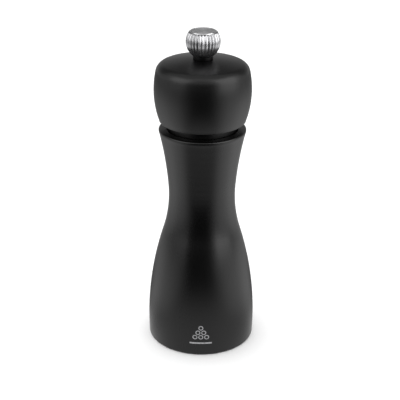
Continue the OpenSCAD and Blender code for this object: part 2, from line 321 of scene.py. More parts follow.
class Shader:
    """A material being built: makes nodes, and links a value or a socket into an input."""

    def __init__(self, name):
        self.material = bpy.data.materials.new(name)
        self.material.use_nodes = True
        self.tree = self.material.node_tree
        self.surface = self.tree.nodes["Principled BSDF"]
        self.place = self.add("ShaderNodeTexCoord").outputs["Object"]

    def add(self, kind, inputs=None, **settings):
        made = self.tree.nodes.new(kind)
        for key, value in settings.items():
            setattr(made, key, value)
        for key, value in (inputs or {}).items():
            self.feed(made.inputs[key], value)
        return made

    def feed(self, socket, value):
        if isinstance(value, bpy.types.NodeSocket):
            self.tree.links.new(value, socket)
        else:
            socket.default_value = value

    def set(self, **values):
        for key, value in values.items():
            self.feed(self.surface.inputs[key.replace("_", " ")], value)

    def stretched(self, scale):
        return self.add("ShaderNodeMapping", {"Vector": self.place, "Scale": scale}).outputs["Vector"]

    def noise(self, scale, detail=4.0, distortion=0.0):
        """Noise with so many waves to the metre along X, Y and Z."""
        settings = {"Vector": self.stretched(scale), "Scale": 1.0, "Detail": detail, "Roughness": 0.55,
                    "Distortion": distortion}
        return self.add("ShaderNodeTexNoise", settings).outputs["Fac"]

    def span(self, value, low, high, to_low=0.0, to_high=1.0, soft=False):
        """to_low where value is low, to_high where it is high, and a straight or soft ramp between them."""
        made = self.add("ShaderNodeMapRange", {"Value": value, "From Min": low, "From Max": high,
                                               "To Min": to_low, "To Max": to_high},
                        interpolation_type="SMOOTHSTEP" if soft else "LINEAR")
        return made.outputs["Result"]

    def sum(self, operation, first, second=0.0):
        made = self.add("ShaderNodeMath", {0: first, 1: second}, operation=operation)
        return made.outputs[0]

    def mix(self, factor, first, second):
        made = self.add("ShaderNodeMix", data_type="RGBA")
        self.feed(made.inputs["Factor"], factor)
        self.feed(made.inputs["A"], (*first, 1.0) if isinstance(first, tuple) else first)
        self.feed(made.inputs["B"], (*second, 1.0) if isinstance(second, tuple) else second)
        return made.outputs["Result"]

    def bump(self, height, strength, distance, under=None):
        inputs = {"Height": height, "Strength": strength, "Distance": distance}
        if under is not None:
            inputs["Normal"] = under
        return self.add("ShaderNodeBump", inputs).outputs["Normal"]


MARK_PITCH = 2.75 * MM        # from ring to ring
MARK_ROW = 0.87               # from row to row, as a share of the pitch
MARK_RING_R = 0.95 * MM
MARK_LINE = 0.36 * MM
MARK_SOFT = 0.05 * MM         # half the width of the print's soft edge
MARK_Z = 14.6 * MM            # the top ring's centre
MARK_BAR_Z = 6.6 * MM
MARK_BAR_W = 10.5 * MM
MARK_BAR_H = 0.7 * MM


def printed_mark(shader):
    """1 where the small printed mark is: a pyramid of six rings like peppercorns over a plain bar."""
    split = shader.add("ShaderNodeSeparateXYZ", {"Vector": shader.place})
    x, y, z = split.outputs
    round_way = shader.sum("ARCTAN2", x, shader.sum("MULTIPLY", y, -1.0))
    across = shader.sum("MULTIPLY", round_way, FOOT_R)
    flat = shader.add("ShaderNodeCombineXYZ", {"X": across, "Y": z, "Z": 0.0}).outputs["Vector"]
    in_front = shader.sum("LESS_THAN", y, 0.0)
    half_line = MARK_LINE / 2
    mark = None
    for row in range(3):
        for k in range(row + 1):
            centre = ((k - row / 2) * MARK_PITCH, MARK_Z - row * MARK_PITCH * MARK_ROW, 0.0)
            distance = shader.add("ShaderNodeVectorMath", {0: flat, 1: centre}, operation="DISTANCE")
            off_line = shader.sum("SUBTRACT", distance.outputs["Value"], MARK_RING_R)
            off_line = shader.sum("ABSOLUTE", off_line)
            ring = shader.span(off_line, half_line - MARK_SOFT, half_line + MARK_SOFT, 1.0, 0.0)
            mark = ring if mark is None else shader.sum("MAXIMUM", mark, ring)
    off_middle = shader.sum("ABSOLUTE", across)
    wide = shader.span(off_middle, MARK_BAR_W / 2, MARK_BAR_W / 2 + MARK_SOFT, 1.0, 0.0)
    off_bar = shader.sum("ABSOLUTE", shader.sum("SUBTRACT", z, MARK_BAR_Z))
    tall = shader.span(off_bar, MARK_BAR_H / 2, MARK_BAR_H / 2 + MARK_SOFT, 1.0, 0.0)
    mark = shader.sum("MAXIMUM", mark, shader.sum("MULTIPLY", wide, tall))
    return shader.sum("MULTIPLY", mark, in_front)


PAINT = (0.34, 0.34, 0.35)
PAINT_ROUGHNESS = 0.5


def lacquered_wood(name, rough_low, rough_high, with_mark=False):
    """Satin black lacquer over turned beech: pores show through as fine upright dashes."""
    s = Shader(name)
    pores = s.span(s.noise((2600, 2600, 130), detail=3), 0.56, 0.70)
    cloud = s.noise((45, 45, 18), detail=3)
    fine = s.noise((5200, 5200, 5200), detail=2)
    colour = s.mix(cloud, (0.0003, 0.0003, 0.0004), (0.0007, 0.0006, 0.0006))
    colour = s.mix(s.sum("MULTIPLY", pores, 0.5), colour, (0.0002, 0.0002, 0.0002))
    rough = s.span(cloud, 0.3, 0.7, rough_low, rough_high)
    if with_mark:
        mark = printed_mark(s)
        wear = s.span(s.noise((900, 900, 900), detail=3), 0.30, 0.42, 0.55, 1.0)
        colour = s.mix(s.sum("MULTIPLY", mark, wear), colour, PAINT)
        rough = s.add("ShaderNodeMix", {0: mark, 2: rough, 3: PAINT_ROUGHNESS}).outputs[0]
    dents = s.bump(pores, 0.25, -0.03 * MM)
    s.set(Base_Color=colour, Roughness=rough, IOR=1.40, Normal=s.bump(fine, 0.10, 0.01 * MM, dents))
    return s.material


def raw_beech(name):
    """Bare beech inside the bores: tan, with grain along the axis and short darker flecks."""
    s = Shader(name)
    rings = s.noise((260, 60, 14), detail=5, distortion=0.6)
    flecks = s.span(s.noise((2400, 2400, 300), detail=2), 0.60, 0.70)
    grain = s.noise((3200, 3200, 180), detail=4)
    colour = s.mix(s.span(rings, 0.35, 0.65), (0.50, 0.31, 0.17), (0.66, 0.45, 0.27))
    colour = s.mix(s.sum("MULTIPLY", flecks, 0.6), colour, (0.33, 0.18, 0.09))
    s.set(Base_Color=colour, Roughness=s.span(grain, 0.3, 0.7, 0.55, 0.75))
    s.set(Normal=s.bump(grain, 0.35, 0.06 * MM))
    return s.material


def polished_metal(name, colour, smeared, rough_low, rough_high):
    """Bright metal with faint turning rings, fine scratches and handling smears."""
    s = Shader(name)
    smear = s.noise((160, 160, 160), detail=4)
    rings = s.noise((300, 300, 14000), detail=2)
    scratches = s.noise((9000, 9000, 500), detail=3)
    s.set(Base_Color=s.mix(s.span(smear, 0.35, 0.7), colour, smeared), Metallic=1.0,
          Roughness=s.span(smear, 0.3, 0.7, rough_low, rough_high),
          Normal=s.bump(scratches, 0.04, 0.01 * MM, s.bump(rings, 0.05, 0.01 * MM)))
    return s.material


def zinc_plate(name):
    """Zinc-plated steel: cool grey with faint straw patches, rolled streaks and a soft grain."""
    s = Shader(name)
    patches = s.noise((240, 240, 240), detail=5)
    streaks = s.noise((300, 7000, 7000), detail=3)
    grain = s.noise((4000, 4000, 4000), detail=3)
    colour = s.mix(s.span(patches, 0.4, 0.68), (0.56, 0.57, 0.59), (0.60, 0.56, 0.47))
    s.set(Base_Color=colour, Metallic=1.0, Roughness=s.span(patches, 0.3, 0.7, 0.28, 0.44),
          Normal=s.bump(streaks, 0.10, 0.01 * MM, s.bump(grain, 0.15, 0.01 * MM)))
    return s.material


def burr_steel(name):
    """Hardened dark steel with a slightly grainy skin and rubbed lighter patches."""
    s = Shader(name)
    grain = s.noise((3500, 3500, 3500), detail=4)
    rubbed = s.noise((500, 500, 500), detail=4)
    colour = s.mix(s.span(rubbed, 0.45, 0.7), (0.16, 0.16, 0.165), (0.34, 0.33, 0.32))
    s.set(Base_Color=colour, Metallic=1.0, Roughness=s.span(rubbed, 0.3, 0.7, 0.5, 0.34),
          Normal=s.bump(grain, 0.4, 0.03 * MM))
    return s.material


def spring_wire(name):
    """Drawn spring wire: blue-grey with fine lengthwise lines."""
    s = Shader(name)
    lines = s.noise((900, 900, 9000), detail=3)
    tint = s.noise((300, 300, 300), detail=3)
    colour = s.mix(tint, (0.36, 0.37, 0.40), (0.50, 0.48, 0.45))
    s.set(Base_Color=colour, Metallic=1.0, Roughness=s.span(tint, 0.3, 0.7, 0.25, 0.38),
          Normal=s.bump(lines, 0.12, 0.01 * MM))
    return s.material


def turned_brass(name):
    """Turned brass with tool rings and a little tarnish."""
    s = Shader(name)
    rings = s.noise((200, 200, 12000), detail=2)
    tarnish = s.noise((350, 350, 350), detail=5)
    colour = s.mix(s.span(tarnish, 0.45, 0.75), (0.80, 0.60, 0.27), (0.46, 0.30, 0.12))
    s.set(Base_Color=colour, Metallic=1.0, Roughness=s.span(tarnish, 0.3, 0.7, 0.22, 0.42),
          Normal=s.bump(rings, 0.15, 0.02 * MM))
    return s.material


def moulded_nylon_painted_shade(name):
    """Black nylon with a fine moulded texture, darkened beyond nylon's own black to paint the shade under the
    knob.
    """
    s = Shader(name)
    grain = s.noise((2500, 2500, 2500), detail=3)
    cloud = s.noise((200, 200, 200), detail=3)
    s.set(Base_Color=s.mix(cloud, (0.0010, 0.0010, 0.0012), (0.0025, 0.0023, 0.0023)), IOR=1.22,
          Roughness=s.span(grain, 0.3, 0.7, 0.34, 0.44), Normal=s.bump(grain, 0.15, 0.02 * MM))
    return s.material


def studio_floor(name):
    """Matte white paper sweep with a barely visible tooth."""
    s = Shader(name)
    tooth = s.noise((900, 900, 900), detail=4)
    s.set(Base_Color=s.mix(tooth, (0.90, 0.90, 0.90), (0.93, 0.93, 0.93)), Roughness=0.85,
          Normal=s.bump(tooth, 0.05, 0.05 * MM))
    return s.material


LACQUER = lacquered_wood("satin_black_lacquer", 0.32, 0.36)
LACQUER_MARKED = lacquered_wood("satin_black_lacquer_with_mark", 0.26, 0.31, with_mark=True)
BEECH = raw_beech("raw_beech")
POLISHED = polished_metal("polished_metal", (0.42, 0.42, 0.43), (0.36, 0.36, 0.365), 0.24, 0.30)
# a lighter copy of the knob's metal, which paints a brighter highlight on its bezel
PAINTED_HIGHLIGHT_METAL = polished_metal("knob_metal_painted_highlight", (0.64, 0.64, 0.65), (0.56, 0.56, 0.57), 0.20, 0.28)
SATIN = polished_metal("satin_metal", (0.60, 0.60, 0.61), (0.50, 0.50, 0.51), 0.38, 0.48)
ZINC = zinc_plate("zinc_plated_steel")
BURR = burr_steel("hardened_burr_steel")
SPRING = spring_wire("spring_wire")
BRASS = turned_brass("turned_brass")
NYLON_WITH_PAINTED_SHADE = moulded_nylon_painted_shade("black_nylon")

# ---------------------------------------------------------------- turned wooden pieces

AROUND = 192                  # columns of the mesh round the wooden pieces
PROFILE_STEP = 0.8 * MM       # between rings of the mesh, at most


def make_body():
    """The turned body: lacquered outside, rim and mouth; bare wood in the chamber and the foot's recess."""
    rim_edge = 0.4 * MM
    mouth_bend = 0.3 * MM
    foot_edge = 0.5 * MM
    inside_bend = 0.25 * MM
    bore_r = RING_R + HIDDEN_GAP
    outside = smooth(outer_skin("mill_body", INSIDE_WAIST_R), PROFILE_STEP)
    mouth = rounded([(MOUTH_R + rim_edge, BODY_H), (MOUTH_R, BODY_H - rim_edge), (MOUTH_R, LEDGE_Z),
                     (CHAMBER_R, LEDGE_Z)], mouth_bend)
    inside = rounded([(CHAMBER_R, LEDGE_Z), (CHAMBER_R, CHAMBER_LOW), (bore_r, CHAMBER_LOW),
                      (bore_r, RING_LOW), (RECESS_R, RING_LOW), (RECESS_R, foot_edge),
                      (RECESS_R + foot_edge, 0.0)], inside_bend)
    outline = outside + mouth + inside[1:]
    lacquer_count = len(outside) + len(mouth) - 3
    slots = [0 if i < lacquer_count or i == len(outline) - 1 else 1 for i in range(len(outline))]
    part = lathe(outline, AROUND, slots=slots)
    return finish_mesh("body_turned", *part, [LACQUER_MARKED, BEECH], "body", "mill_body", "lacquered_wood")


def make_head():
    """The turned head with its neck and spigot, bored through for the shaft."""
    wider_than_neck = NECK_R * 1.1
    lip_zone = 5 * MM
    neck_edge = 0.5 * MM
    bore_edge = 0.3 * MM
    bore_step = SQUARE_TOP + 2 * MM
    skin = outer_skin("mill_head", SEAT_R * 0.98)
    under = min(z for r, z in skin if r > wider_than_neck and z > BODY_H)
    side = [(r, z) for r, z in skin if r > wider_than_neck and z > under - TINY or z > under + lip_zone]
    neck = [(NECK_R - neck_edge, SPIGOT_LOW), (NECK_R, SPIGOT_LOW + neck_edge)]
    cove = arc((NECK_R + COVE_R, under - COVE_R), COVE_R, 180, 90, 8)
    side_curve = smooth(side, PROFILE_STEP)
    seat_z = side[-1][1]
    top = [(HEAD_TOP_BORE_R + bore_edge, seat_z), (HEAD_TOP_BORE_R, seat_z - bore_edge)]
    plate_r = out_r("drive_plate") + HIDDEN_GAP
    plate_top = high_z("drive_plate")
    inside = [(HEAD_TOP_BORE_R, bore_step), (HEAD_BORE_R, bore_step), (HEAD_BORE_R, plate_top),
              (plate_r, plate_top), (plate_r, SPIGOT_LOW)]
    outline = neck + cove + side_curve + top + inside
    lacquered = len(neck) + len(cove) + len(side_curve) + 1
    slots = [0 if i < lacquered else 1 for i in range(len(outline))]
    part = lathe(outline, AROUND, slots=slots)
    return finish_mesh("head_turned", *part, [LACQUER, BEECH], "head", "mill_head", "lacquered_wood")

# ---------------------------------------------------------------- knob

FLUTES = 32
FLUTE_DEPTH = 0.32 * MM
FLUTE_STEPS = 14              # columns of the mesh across each flute
FLUTE_TOP_R = 6.35 * MM
RIDGE_SOFTNESS = 0.10         # rounds the ridges between the flutes, from 0 for a sharp edge
FADE_START = 3                # degrees up the ball from its foot
FADE_LOW = 22                 # degrees in which the flutes grow from nothing
FADE_HIGH = 2.5               # degrees in which they end at the top
KNOB_CENTRE_Z = 145.1 * MM
BALL_STEPS = 56
GROOVE = 0.45 * MM            # width and depth of the groove round the bezel
PRESS_GAP = 0.02 * MM         # round pieces that are pressed together


def make_knob():
    """The fluted ball: hollow flutes that meet in thin ridges, one ridge facing the front."""
    foot_angle = math.degrees(math.asin((KNOB_LOW - KNOB_CENTRE_Z) / KNOB_R))
    top_angle = math.degrees(math.acos(FLUTE_TOP_R / KNOB_R))
    span = top_angle - foot_angle
    ball = arc((0.0, KNOB_CENTRE_Z), KNOB_R, foot_angle, top_angle, BALL_STEPS)
    rim_z = ball[-1][1]
    rim_edge = 0.05 * MM
    rim_slope = 0.18 * MM
    draft = 0.02 * MM
    bezel_drop = 0.25 * MM
    bezel_round = 0.30 * MM
    bezel_edge = 0.1 * MM
    bezel_bend = 0.14 * MM
    bezel_r = FLUTE_TOP_R - GROOVE
    disc_r = out_r("knob_disc") + PRESS_GAP
    disc_low = low_z("knob_disc")
    bezel = rounded([(FLUTE_TOP_R - rim_edge, rim_z - draft), (FLUTE_TOP_R - rim_slope, rim_z - GROOVE),
                     (bezel_r, rim_z - GROOVE * 0.9), (bezel_r - draft, KNOB_TOP - bezel_drop),
                     (bezel_r - bezel_round, KNOB_TOP), (disc_r + rim_edge, KNOB_TOP),
                     (disc_r, KNOB_TOP - bezel_edge), (disc_r, disc_low)], bezel_bend, 4)
    shaft_room_r = 3.2 * MM
    insert_r = out_r("knob_insert") + PRESS_GAP
    insert_top = high_z("knob_insert") + HIDDEN_GAP
    room_top = insert_top + 1.0 * MM
    hollow = [(0.0, disc_low), (0.0, room_top), (shaft_room_r, room_top), (shaft_room_r, insert_top),
              (insert_r, insert_top), (insert_r, KNOB_LOW)]
    outline = ball + bezel + hollow

    def flute(angle, index):
        if index >= len(ball):
            return 0.0
        up = index / (len(ball) - 1)
        fade_low = min(1.0, max(0.0, (up * span - FADE_START) / FADE_LOW))
        fade_high = min(1.0, (1 - up) * span / FADE_HIGH)
        wave = abs(math.sin(FLUTES / 2 * (angle + math.pi / 2)))
        shape = (math.hypot(wave, RIDGE_SOFTNESS) - RIDGE_SOFTNESS) / (math.hypot(1, RIDGE_SOFTNESS)
                                                                       - RIDGE_SOFTNESS)
        return FLUTE_DEPTH * shape * fade_low * fade_high

    # the bezel takes the lighter copy of the knob's metal: a painted highlight
    slots = [1 if len(ball) <= i < len(ball) + len(bezel) else 0 for i in range(len(outline))]
    part = lathe(outline, FLUTES * FLUTE_STEPS, carve=flute, slots=slots)
    return finish_mesh("knob_fluted", *part, [POLISHED, PAINTED_HIGHLIGHT_METAL], "knob", "adjusting_knob", "polished_knob",
                       sharp=SHARP_KNOB)


def make_knob_disc():
    """The disc in the knob's top: a shallow dish with a raised ring and a small boss."""
    low, high, radius = low_z("knob_disc"), high_z("knob_disc"), out_r("knob_disc")
    dish = high - 0.22 * MM
    ring = high - 0.08 * MM
    boss = high - 0.05 * MM
    rim_w = 0.45 * MM
    rim_slope = 0.25 * MM
    corners = [(radius, low), (radius, high), (radius - rim_w, high), (radius - rim_w - rim_slope, dish),
               (radius * 0.62, dish), (radius * 0.58, ring), (radius * 0.50, ring), (radius * 0.46, dish),
               (radius * 0.26, dish), (radius * 0.20, boss), (radius * 0.05, high)]
    outline = rounded(corners, 0.12 * MM, 4) + [(0.0, high), (0.0, low)]
    part = lathe(outline, steps=128)
    return finish_mesh("knob_top_disc", *part, [SATIN], "knob", "knob_disc", "satin_disc", sharp=SHARP_KNOB)


def ring_piece(name, node, inner_r, material, body, record_slot):
    """A flat or tall ring with softened edges, in the place of a CAD washer."""
    low, high, radius = low_z(node), high_z(node), out_r(node)
    bevel = 0.12 * MM
    start = ((radius + inner_r) / 2, low)
    loop = [start, (radius, low), (radius, high), (inner_r, high), (inner_r, low), start]
    part = lathe(rounded(loop, bevel)[:-1], steps=96)
    return finish_mesh(name, *part, [material], body, node, record_slot)

# ---------------------------------------------------------------- shaft and knob's insert

THREAD_R = 2.93 * MM
THREAD_PITCH = 1.0 * MM
THREAD_DEPTH = 0.42 * MM
THREAD_STEP = THREAD_PITCH / 8
SHAFT_HALF = 3 * MM
SHAFT_CORNER = 0.35 * MM
TAIL_R = 2.2 * MM
PEEN_R = 3.3 * MM


def make_shaft():
    """The square shaft: a peened tail below the cone, and a turned and threaded end for the knob."""
    low, washer_low, washer_high = low_z("drive_shaft"), low_z("cone_washer"), high_z("cone_washer")
    bar = square(SHAFT_HALF, SHAFT_CORNER)
    shoulder = square(SHAFT_HALF - 0.25 * MM, SHAFT_CORNER)
    turned_down = square(SHAFT_HALF, 1.6 * MM)
    chamfer = 0.6 * MM
    thread_low = SQUARE_TOP + 0.8 * MM
    tail = rounded([(0.0, low), (PEEN_R * 0.55, low), (PEEN_R, low + 0.45 * MM), (PEEN_R, washer_low),
                    (TAIL_R, washer_low)], 0.2 * MM)
    outline = tail + [(TAIL_R, washer_high), (shoulder, washer_high), (bar, washer_high + 0.25 * MM)]
    outline += [(bar, z) for z in levels(washer_high + 0.3 * MM, SQUARE_TOP - 0.6 * MM, 8 * MM)]
    outline += [(turned_down, SQUARE_TOP - 0.2 * MM), (THREAD_R, SQUARE_TOP)]
    outline += [(THREAD_R, z) for z in levels(thread_low, SHAFT_TOP - chamfer, THREAD_STEP)]
    outline += [(THREAD_R - chamfer, SHAFT_TOP), (0.0, SHAFT_TOP)]
    wind = thread(outline, thread_low, SHAFT_TOP - chamfer * 0.9, THREAD_PITCH, THREAD_DEPTH)

    def cut(angle, index):
        return wind(angle, index) if outline[index][1] > thread_low else 0.0

    part = lathe(outline, steps=96, carve=cut)
    return finish_mesh("shaft_square_threaded", *part, [ZINC], "spindle", "drive_shaft", "zinc_steel")


def make_insert():
    """The brass nut pressed into the knob: a knurled outside and a threaded bore."""
    low, high, radius = low_z("knob_insert"), high_z("knob_insert"), out_r("knob_insert")
    bore = THREAD_R + 0.07 * MM
    chamfer = 0.3 * MM
    plain_end = 1.5 * MM
    knurl_depth = 0.12 * MM
    knurl_waves = 24
    outside = [(radius - chamfer, low), (radius, low + chamfer)]
    outside += [(radius, z) for z in levels(low + plain_end, high - plain_end, 1 * MM)]
    outside += [(radius, high - chamfer), (radius - chamfer, high)]
    inside = [(bore + chamfer, high), (bore, high - chamfer)]
    inside += [(bore, z) for z in levels(high - 2 * chamfer, low + 2 * chamfer, THREAD_STEP)]
    inside += [(bore, low + chamfer), (bore + chamfer, low)]
    outline = outside + inside
    wind = thread(outline, low + chamfer, high - chamfer, THREAD_PITCH, THREAD_DEPTH)

    def cut(angle, index):
        if index >= len(outside) + 2:
            return wind(angle, index)
        knurled = 2 <= index < len(outside) - 2
        return knurl_depth * abs(math.sin(knurl_waves * angle)) if knurled else 0.0

    part = lathe(outline, steps=96, carve=cut)
    return finish_mesh("knob_brass_insert", *part, [BRASS], "knob", "knob_insert", "brass_insert")

# ---------------------------------------------------------------- grinding set

FINE_TEETH = 30
FINE_DEPTH = 0.45 * MM
FINE_TOP = 12.6 * MM          # where the fine teeth end and the coarse ones begin
FINE_SLOPE = 0.28             # radius lost for each metre up the fine teeth
FINE_TURN = 26                # radians of winding for each metre up
COARSE_TEETH = 8
RING_COARSE_TEETH = 10
COARSE_TURN = 75              # radians of winding for each metre up
RING_COARSE_SHARE = 0.35      # how far the ring's coarse teeth wind, as a share of the cone's
TOOTH_BLEND = 0.3 * MM        # the heights in which one kind of teeth fades into the other
TOOTH_COLUMNS = 360
TOOTH_STEP = 0.25 * MM        # between rings of the mesh along the teeth
TOOTH_RISE = 0.85             # the share of a tooth in which its cut deepens


def saw(angle, count):
    """How deep saw teeth are cut round the axis: 0 at an edge, down to about 1, and quickly back to 0."""
    phase = (angle * count / (2 * math.pi)) % 1.0
    return phase ** 0.8 if phase < TOOTH_RISE else (1 - phase) / (1 - TOOTH_RISE)


def ramp(value, start, end):
    """0 at start, 1 at end, straight between them and level beyond."""
    return min(1.0, max(0.0, (value - start) / (end - start)))


def fine_share(z):
    """1 at the heights of the fine teeth, fading to 0 above them."""
    return ramp(z, FINE_TOP + TOOTH_BLEND, FINE_TOP - TOOTH_BLEND)


def make_cone():
    """The grinding cone: fine saw teeth round its lower edge, and coarse spiral teeth that feed them."""
    low, high, radius = low_z("grinding_cone"), high_z("grinding_cone"), out_r("grinding_cone")
    hollow_top = high_z("cone_washer")
    hollow_r = 7 * MM
    top_r = 5.7 * MM
    edge = 0.12 * MM
    shallow = 0.35 * MM
    deep = 1.60 * MM
    full_depth_z = high - 4 * MM
    profile = [(radius, low), (radius - FINE_SLOPE * (FINE_TOP - low), FINE_TOP),
               (8.5 * MM, FINE_TOP + 1 * MM), (6.3 * MM, high - 2.6 * MM), (top_r, high - 0.8 * MM),
               (top_r, high)]
    outside = [(radius - edge, low)]
    for (r0, z0), (r1, z1) in zip(profile, profile[1:]):
        for z in levels(z0 + edge, z1, TOOTH_STEP):
            outside.append((r0 + (r1 - r0) * (z - z0) / (z1 - z0), z))
    outside.append((top_r - edge, high))
    hole = square(SHAFT_HALF + PRESS_GAP, SHAFT_CORNER)
    inside = [(hole, high), (hole, hollow_top), (hollow_r, hollow_top), (hollow_r, low + edge),
              (hollow_r + edge, low)]
    outline = outside + inside

    def cut(angle, index):
        if index >= len(outside):
            return 0.0
        z = outline[index][1]
        fine = FINE_DEPTH * saw(angle, FINE_TEETH) * fine_share(z)
        depth = shallow + (deep - shallow) * ramp(z, FINE_TOP - 0.2 * MM, full_depth_z)
        coarse = depth * saw(angle, COARSE_TEETH) * ramp(z, FINE_TOP - 0.4 * MM, FINE_TOP + 0.6 * MM)
        return max(fine, coarse)

    def wind(index):
        if index >= len(outside):
            return 0.0
        z = outline[index][1]
        return -FINE_TURN * (min(z, FINE_TOP) - low) - COARSE_TURN * max(0.0, z - FINE_TOP)

    part = lathe(outline, TOOTH_COLUMNS, carve=cut, twist=wind)
    return finish_mesh("grinding_cone_toothed", *part, [BURR], "spindle", "grinding_cone", "burr_steel",
                       sharp=SHARP_TEETH)


def make_ring():
    """The grinding ring: fine teeth against the cone's, coarse teeth above, and two lugs to hold it still."""
    low, high, cone_low = low_z("grinding_ring"), high_z("grinding_ring"), low_z("grinding_cone")
    gap = 0.3 * MM
    edge = 0.15 * MM
    shallow = 0.3 * MM
    deep = 1.2 * MM
    top_r = 10.4 * MM
    lug_high = low + 3 * MM
    lug_half = 1.5 * MM
    lug_out = high_y("grinding_ring") - RING_R
    cone_edge_r = out_r("grinding_cone") + gap
    throat_r = cone_edge_r - FINE_SLOPE * (FINE_TOP - cone_low)
    low_r = cone_edge_r - FINE_SLOPE * (low - cone_low)
    outside = [(RING_R - edge, low), (RING_R, low + edge), (RING_R, lug_high),
               (RING_R, lug_high + 0.1 * MM), (RING_R, high - edge), (RING_R - edge, high)]
    inside = []
    for z in levels(high, FINE_TOP, 0.3 * MM):
        inside.append((throat_r + (top_r - throat_r) * ramp(z, FINE_TOP, high), z))
    for z in levels(FINE_TOP - 0.2 * MM, low, TOOTH_STEP):
        inside.append((throat_r + (low_r - throat_r) * ramp(z, FINE_TOP, low), z))
    outline = outside + inside

    def cut(angle, index):
        z = outline[index][1]
        if index >= len(outside):
            fine = FINE_DEPTH * saw(-angle, FINE_TEETH) * fine_share(z)
            depth = shallow + (deep - shallow) * ramp(z, FINE_TOP, high)
            blend = ramp(z, FINE_TOP - TOOTH_BLEND, FINE_TOP + 2 * TOOTH_BLEND)
            return max(fine, depth * saw(-angle, RING_COARSE_TEETH) * blend)
        on_lug = abs(RING_R * math.cos(angle)) < lug_half and z <= lug_high
        return -lug_out if on_lug and 0 < index < 3 else 0.0

    def wind(index):
        if index < len(outside):
            return 0.0
        z = outline[index][1]
        coarse_turn = COARSE_TURN * RING_COARSE_SHARE
        return FINE_TURN * (min(z, FINE_TOP) - low) - coarse_turn * max(0.0, z - FINE_TOP)

    part = lathe(outline, TOOTH_COLUMNS, carve=cut, twist=wind)
    return finish_mesh("grinding_ring_toothed", *part, [BURR], "body", "grinding_ring", "burr_steel",
                       sharp=SHARP_TEETH)

# ---------------------------------------------------------------- plates, screws and spring

def softened(name, node, width, material, body, record_slot):
    """A pressed or cut piece in the exact shape of its CAD node, with its sharp edges softened."""
    level_angle = math.radians(0.5)     # faces that bend less than this count as one
    corner_angle = math.radians(35)     # edges that bend more than this are softened
    work = bmesh.new()
    work.from_mesh(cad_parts[node].data)
    bmesh.ops.remove_doubles(work, verts=work.verts, dist=TINY)
    bmesh.ops.dissolve_limit(work, angle_limit=level_angle, verts=work.verts, edges=work.edges)
    bmesh.ops.triangulate(work, faces=[face for face in work.faces if len(face.verts) > 4])
    corners = [edge for edge in work.edges
               if len(edge.link_faces) == 2 and edge.calc_face_angle(0.0) > corner_angle]
    bmesh.ops.bevel(work, geom=corners, offset=width, segments=2, profile=0.5, affect="EDGES",
                    clamp_overlap=True)
    bmesh.ops.recalc_face_normals(work, faces=work.faces)
    vertices = [tuple(vertex.co) for vertex in work.verts]
    faces = [[vertex.index for vertex in face.verts] for face in work.faces]
    work.free()
    return finish_mesh(name, vertices, faces, None, [material], body, node, record_slot,
                       sharp=SHARP_PRESSED)


def wood_screw(low, seat, high, head_r, shank_r):
    """A pan-head screw with a cross recess, from its head's lowest point up to its tip."""
    head_h = seat - low
    slot_floor = low + head_h * 0.75
    slot_mouth = low + 0.04 * MM
    pitch = shank_r * 0.9
    shank_low = seat + 0.2 * MM
    tip_low = high - 1.6 * shank_r
    head = [(0.0, slot_floor), (cross(head_r * 0.10, head_r * 0.40), slot_floor),
            (cross(head_r * 0.14, head_r * 0.56), slot_mouth), (head_r * 0.64, low)]
    head += rounded([(head_r * 0.70, low + 0.02 * MM), (head_r * 0.92, low + head_h * 0.30),
                     (head_r, low + head_h * 0.72), (head_r, seat), (shank_r, seat)], 0.25 * MM, 4)
    shank = [(shank_r, z) for z in levels(shank_low, tip_low, pitch / 6)]
    tip = [(shank_r * 0.55, high - shank_r * 0.72), (shank_r * 0.12, high), (0.0, high)]
    outline = head + shank + tip
    wind = thread(outline, seat + 0.6 * MM, tip_low, pitch, shank_r * 0.28)

    def cut(angle, index):
        return wind(angle, index) if len(head) <= index < len(head) + len(shank) else 0.0

    return lathe(outline, steps=64, carve=cut)


def screws(name, node, count, ring_r, first_angle, seat, head_r, shank_r, body):
    """Screws of one kind, spaced evenly on a ring round the axis, with angles in degrees."""
    one = wood_screw(low_z(node), seat, high_z(node), head_r, shank_r)
    copies = []
    for k in range(count):
        angle = math.radians(first_angle + 360 * k / count)
        copies.append(moved(one, ring_r * math.cos(angle), ring_r * math.sin(angle)))
    return finish_mesh(name, *joined(copies), [ZINC], body, node, "zinc_steel")


def make_spring():
    """The thrust spring: round wire whose turns close up at both ends."""
    low, high = low_z("thrust_spring"), high_z("thrust_spring")
    wire_r = 0.4 * MM
    coil_r = 4.95 * MM
    turns = 5
    sides = 12
    steps = turns * 36
    closing = 0.55            # how much nearer the end turns are than the middle ones
    vertices = []
    for i in range(steps + 1):
        t = i / steps
        turn = 2 * math.pi * turns * t
        rise = t - closing * math.sin(2 * math.pi * t) / (2 * math.pi)
        z = low + wire_r + (high - low - 2 * wire_r) * rise
        for k in range(sides):
            a = 2 * math.pi * k / sides
            r = coil_r + wire_r * math.cos(a)
            vertices.append((r * math.cos(turn), r * math.sin(turn), z + wire_r * math.sin(a)))
    faces = []
    for start in range(0, steps * sides, sides):
        for k in range(sides):
            j = (k + 1) % sides
            faces.append([start + sides + k, start + sides + j, start + j, start + k])
    faces.append(list(range(sides)))
    faces.append([steps * sides + k for k in reversed(range(sides))])
    return finish_mesh("thrust_spring_wire", vertices, faces, None, [SPRING], ("seat", "spindle"),
                       "thrust_spring", "spring_steel")


COLLAR_GAP = 0.3 * MM         # between the nylon collar and the thread
SPRING_WASHER_BORE = 4.343 * MM
PLATE_SCREW_RING_R = 15.7 * MM
DRIVE_SCREW_RING_R = 9.2 * MM

